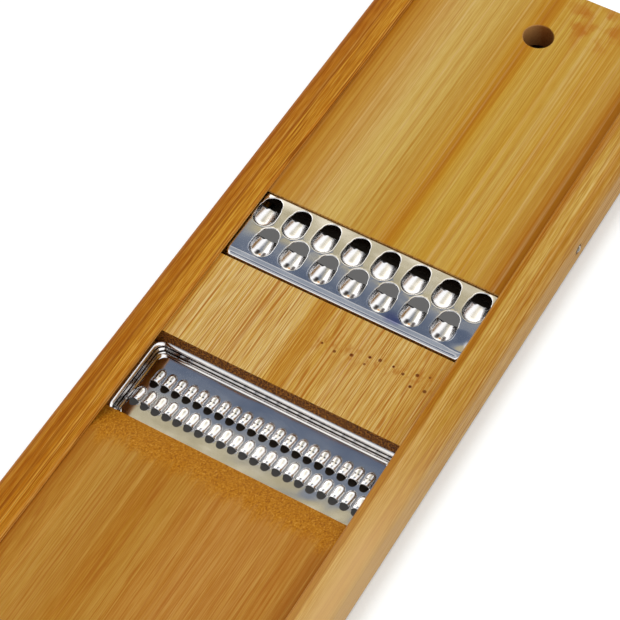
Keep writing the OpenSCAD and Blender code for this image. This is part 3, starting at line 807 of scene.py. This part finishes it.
def punched_tooth():
    """One hooded tooth as a bare skin: its mouth at the origin, its closed end towards +Y."""
    bm = bmesh.new()
    middle_y = TOOTH_BACK - TOOTH_RADIUS
    ball = Matrix.Translation((0, middle_y, 0)) @ Matrix.Rotation(math.pi / 2, 4, "X")
    bmesh.ops.create_uvsphere(bm, u_segments=20, v_segments=12, radius=TOOTH_RADIUS, matrix=ball)
    bmesh.ops.bisect_plane(bm, geom=all_of(bm), dist=1e-3, plane_co=(0, 0, 0), plane_no=(0, 0, 1),
                           clear_inner=True)
    bmesh.ops.bisect_plane(bm, geom=all_of(bm), dist=1e-3, plane_co=(0, middle_y, 0), plane_no=(0, 1, 0),
                           clear_inner=True)
    bmesh.ops.scale(bm, vec=(1, TOOTH_TAPER / TOOTH_RADIUS, TOOTH_FLATTEN), verts=bm.verts,
                    space=Matrix.Translation((0, -middle_y, 0)))
    bmesh.ops.translate(bm, vec=(0, TOOTH_RADIUS - TOOTH_TAPER, 0), verts=bm.verts)
    middle_y = TOOTH_BACK - TOOTH_TAPER
    mouth = [e for e in bm.edges if all(close_to(v, y=middle_y) for v in e.verts)]
    for step in range(TOOTH_STEPS):
        mouth = grow_loop(bm, mouth, (0, -middle_y / TOOTH_STEPS, 0), TOOTH_GROWTH, (0, 0, 0))
    arc = add_slot(bm, TOOTH_SLOT_RADIUS, -TOOTH_SLOT, -math.pi, 10)
    loop = [e for e in bm.edges if all(close_to(v, z=0) for v in e.verts)]
    half = (TOOTH_RADIUS, (TOOTH_BACK + TOOTH_SLOT) / 2, (TOOTH_BACK - TOOTH_SLOT) / 2)
    grow_outline(bm, loop, half, (0, 0), TOOTH_FOOT)
    bmesh.ops.translate(bm, vec=(0, 0, -TOOTH_DROP), verts=arc)
    return bm


fine = punched_tooth()
repeat_skin(fine, row_places(TOOTH_ROWS, TOOTH_PITCH, FINE_Y))
press_pan(fine, FINE_HALF, FINE_WALL)
bmesh.ops.translate(fine, vec=(0, FINE_Y, FINE_Z), verts=fine.verts)
fine_steel = pressed_steel("bright_stainless_fine_plate", FINE_Y, FINE_Z, near_crown=4.0,
                           far_crown=4.0, dull_from=0.1, dull_to=0.5, painted_wall_bands=FINE_PAINTED_BANDS,
                           flat_half=FINE_HALF, reflection_pitch=TOOTH_PITCH, reflection_reach=33.4,
                           painted_reflections=TOOTH_PAINTED_REFLECTIONS, dents=FINE_DENTS)
fine_plate = make_piece("fine_plate_steel", fine, fine_steel, sharp=50)
thicken(fine_plate)
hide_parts("fine_plate")


# Nails: eight bright steel wire nails, 20 mm long, driven through the rails into the boards'
# edges. Their low domed heads stand just proud of the bamboo and carry the hammer's dents.
NAIL_HEAD_X = 46.12
NAIL_PROFILE = [
    (0.0, 0.34), (0.4, 0.3), (0.75, 0.16), (1.0, -0.06), (1.1, -0.24), (1.05, -0.5), (0.75, -0.62),
    (0.75, -18.0), (0.0, -20.0),
]


def wire_steel(name):
    """Drawn steel wire, cold headed and hammered home: bright, dented, with grime in the dents."""
    material, tree, surface = new_material(name)
    place = add(tree, "TexCoord").outputs["Object"]
    dent_place = add(tree, "Mapping", {"Vector": place, "Scale": (900, 900, 900)})
    dents = add(tree, "TexNoise", {"Vector": dent_place, "Scale": 1.0, "Detail": 3.0})
    tone = add(tree, "ValToRGB", {0: dents}, [(0.3, "#6f675c"), (0.5, "#b9b6b2"), (0.7, "#d8d6d4")])
    matt = add(tree, "MapRange", {"Value": dents, "To Min": 0.42, "To Max": 0.2})
    bump = add(tree, "Bump", {"Height": dents, "Strength": 0.6, "Distance": 0.25 * MM})
    set_up(tree, surface, {"Base Color": tone, "Metallic": 1.0, "Roughness": matt, "Normal": bump})
    return material


nail_steel = wire_steel("drawn_steel_wire")
for side_name, sign in (("left", -1), ("right", 1)):
    for number, y in enumerate(NAIL_PLACES, 1):
        nail = bmesh.new()
        line = [nail.verts.new((x, 0, r)) for r, x in NAIL_PROFILE]
        edges = [nail.edges.new(pair) for pair in zip(line, line[1:])]
        bmesh.ops.spin(nail, geom=line + edges, cent=(0, 0, 0), axis=(1, 0, 0), angle=2 * math.pi,
                       steps=24, use_merge=True)
        bmesh.ops.remove_doubles(nail, verts=nail.verts, dist=1e-4)
        bmesh.ops.scale(nail, vec=(sign, 1, 1), verts=nail.verts)
        bmesh.ops.recalc_face_normals(nail, faces=nail.faces)
        bmesh.ops.translate(nail, vec=(sign * NAIL_HEAD_X, y, NAIL_Z), verts=nail.verts)
        piece = make_piece(f"nail_{side_name}_{number}_steel", nail, nail_steel)
        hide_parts(f"nail_{side_name}_{number}")


# Floor: a white studio sweep, plain and matt. It shows white to the camera and in the steel, and
# takes the tool's soft shadow.
FLOOR_HALF = 6.0
OPEN_LIGHT = 0.24
COARSE_STRIP = (46.5, 5.5, 6.5, 0.13)
FINE_STRIP = (-20.5, 2.5, 3.5, 0.04)

floor_bm = bmesh.new()
bmesh.ops.create_grid(floor_bm, x_segments=1, y_segments=1, size=FLOOR_HALF)
floor_mesh = bpy.data.meshes.new("floor")
floor_bm.to_mesh(floor_mesh)
floor_bm.free()
floor = bpy.data.objects.new("floor", floor_mesh)
scene.collection.objects.link(floor)

white_paper, tree, surface = new_material("white_paper")
rays = add(tree, "LightPath")
seen = add(tree, "Math", {"operation": "MAXIMUM", 0: rays.outputs["Is Camera Ray"],
                          1: rays.outputs["Is Glossy Ray"]})
shown = add(tree, "Math", {"operation": "MAXIMUM", 0: seen, 1: rays.outputs["Is Transmission Ray"]})
# Under the tool the floor's colour is painted dark as shade, and two strips glow as painted light where
# light would come through the holes.
spot = add(tree, "SeparateXYZ", {0: add(tree, "TexCoord").outputs["Object"]})
far_x = add(tree, "Math", {"operation": "ABSOLUTE", 0: spot.outputs[0]})
far_y = add(tree, "Math", {"operation": "ABSOLUTE", 0: spot.outputs[1]})
past_x = add(tree, "Math", {"operation": "SUBTRACT", 0: far_x, 1: RAIL_OUT * MM})
past_y = add(tree, "Math", {"operation": "SUBTRACT", 0: far_y, 1: RAIL_HALF * MM})
past = add(tree, "Math", {"operation": "MAXIMUM", 0: past_x, 1: past_y})
clear = add(tree, "MapRange", {"Value": past, "From Min": -2 * MM, "From Max": 0.0})
paper_and_painted_shade = add(tree, "MixRGB", {0: clear, 1: "#5a5046", 2: "#f2f7f9"})
open_floor = add(tree, "Math", {"operation": "MULTIPLY", 0: clear, 1: OPEN_LIGHT})
coarse_strip = near_plane(tree, spot.outputs[1], *COARSE_STRIP)
fine_strip = near_plane(tree, spot.outputs[1], *FINE_STRIP)
strips = add(tree, "Math", {"operation": "MAXIMUM", 0: coarse_strip, 1: fine_strip})
between_rails = add(tree, "MapRange", {"Value": past_x, "From Min": -8 * MM, "From Max": -10 * MM})
painted_light_strips = add(tree, "Math", {"operation": "MULTIPLY", 0: strips, 1: between_rails})
brightest = add(tree, "Math", {"operation": "MAXIMUM", 0: open_floor, 1: painted_light_strips})
lift = add(tree, "Math", {"operation": "MULTIPLY", 0: shown, 1: brightest})
set_up(tree, surface, {"Base Color": paper_and_painted_shade, "Roughness": 0.9, "Specular IOR Level": 0.0,
                       "Emission Color": (1, 1, 1, 1), "Emission Strength": lift})
floor_mesh.materials.append(white_paper)


# Studio: plain white light from all round and a large soft lamp high on the left. The steel
# mirrors a cream wall beyond the tool, a grey-blue ceiling, a white window and a warm right side.
WORLD_LEVEL = 0.74
KEY_LEVEL = 0.85
KEY_SPREAD = math.radians(20)
KEY_TURN = (math.radians(6), math.radians(-17), 0)
WHITE = (1, 1, 1, 1)
CEILING = [
    (0.0, "#fffdf8"), (0.69, "#fff8ea"), (0.74, "#ded2b2"), (0.76, "#d2c6a2"), (0.8, "#ccc09b"),
    (0.83, "#929aa8"), (0.9, "#6b778d"), (1.0, "#5f6c84"),
]
# The room that the steel mirrors, laid over the ceiling in turn: the axis of the direction, where
# along it the patch starts and is full, and its light.
ROOM = [
    (1, 0.08, 0.0, (0.8, 0.8, 0.82, 1.0)),
    (1, -0.1, -0.18, "#a3abb8"),
    (1, -0.38, -0.48, (1.15, 1.13, 1.1, 1.0)),
    (0, 0.03, 0.2, (1.5, 1.5, 1.5, 1.0)),
    (0, 0.58, 0.72, "#9a6f30"),
    (0, -0.42, -0.55, (2.4, 2.4, 2.4, 1.0)),
]

world = bpy.data.worlds.new("studio")
scene.world = world
world.use_nodes = True
tree = world.node_tree
tree.nodes.clear()
view = add(tree, "SeparateXYZ", {0: add(tree, "TexCoord").outputs["Generated"]})
ceiling = add(tree, "ValToRGB", {0: view.outputs[2]}, CEILING)
low_wall = add(tree, "MapRange", {"Value": view.outputs[2], "From Min": 0.745, "From Max": 0.68,
                                  "To Min": 1.0, "To Max": 2.0})
room = add(tree, "MixRGB", {"blend_type": "MULTIPLY", 0: 1.0, 1: ceiling, 2: low_wall})
for axis, start, full, light in ROOM:
    share = add(tree, "MapRange", {"Value": view.outputs[axis], "From Min": start, "From Max": full})
    room = add(tree, "MixRGB", {0: share, 1: room, 2: light})
mirrored_room = add(tree, "Background", {"Color": room, "Strength": 1.0})
plain_light = add(tree, "Background", {"Color": WHITE, "Strength": WORLD_LEVEL})
white_wall = add(tree, "Background", {"Color": WHITE, "Strength": 1.0})
rays = add(tree, "LightPath")
glossy = add(tree, "MixShader", {0: rays.outputs["Is Glossy Ray"], 1: plain_light, 2: mirrored_room})
whole = add(tree, "MixShader", {0: rays.outputs["Is Camera Ray"], 1: glossy, 2: white_wall})
add(tree, "OutputWorld", {"Surface": whole})

key_data = bpy.data.lights.new("key", "SUN")
key_data.energy = KEY_LEVEL
key_data.angle = KEY_SPREAD
key = bpy.data.objects.new("key", key_data)
key.rotation_euler = KEY_TURN
key.visible_glossy = False
scene.collection.objects.link(key)
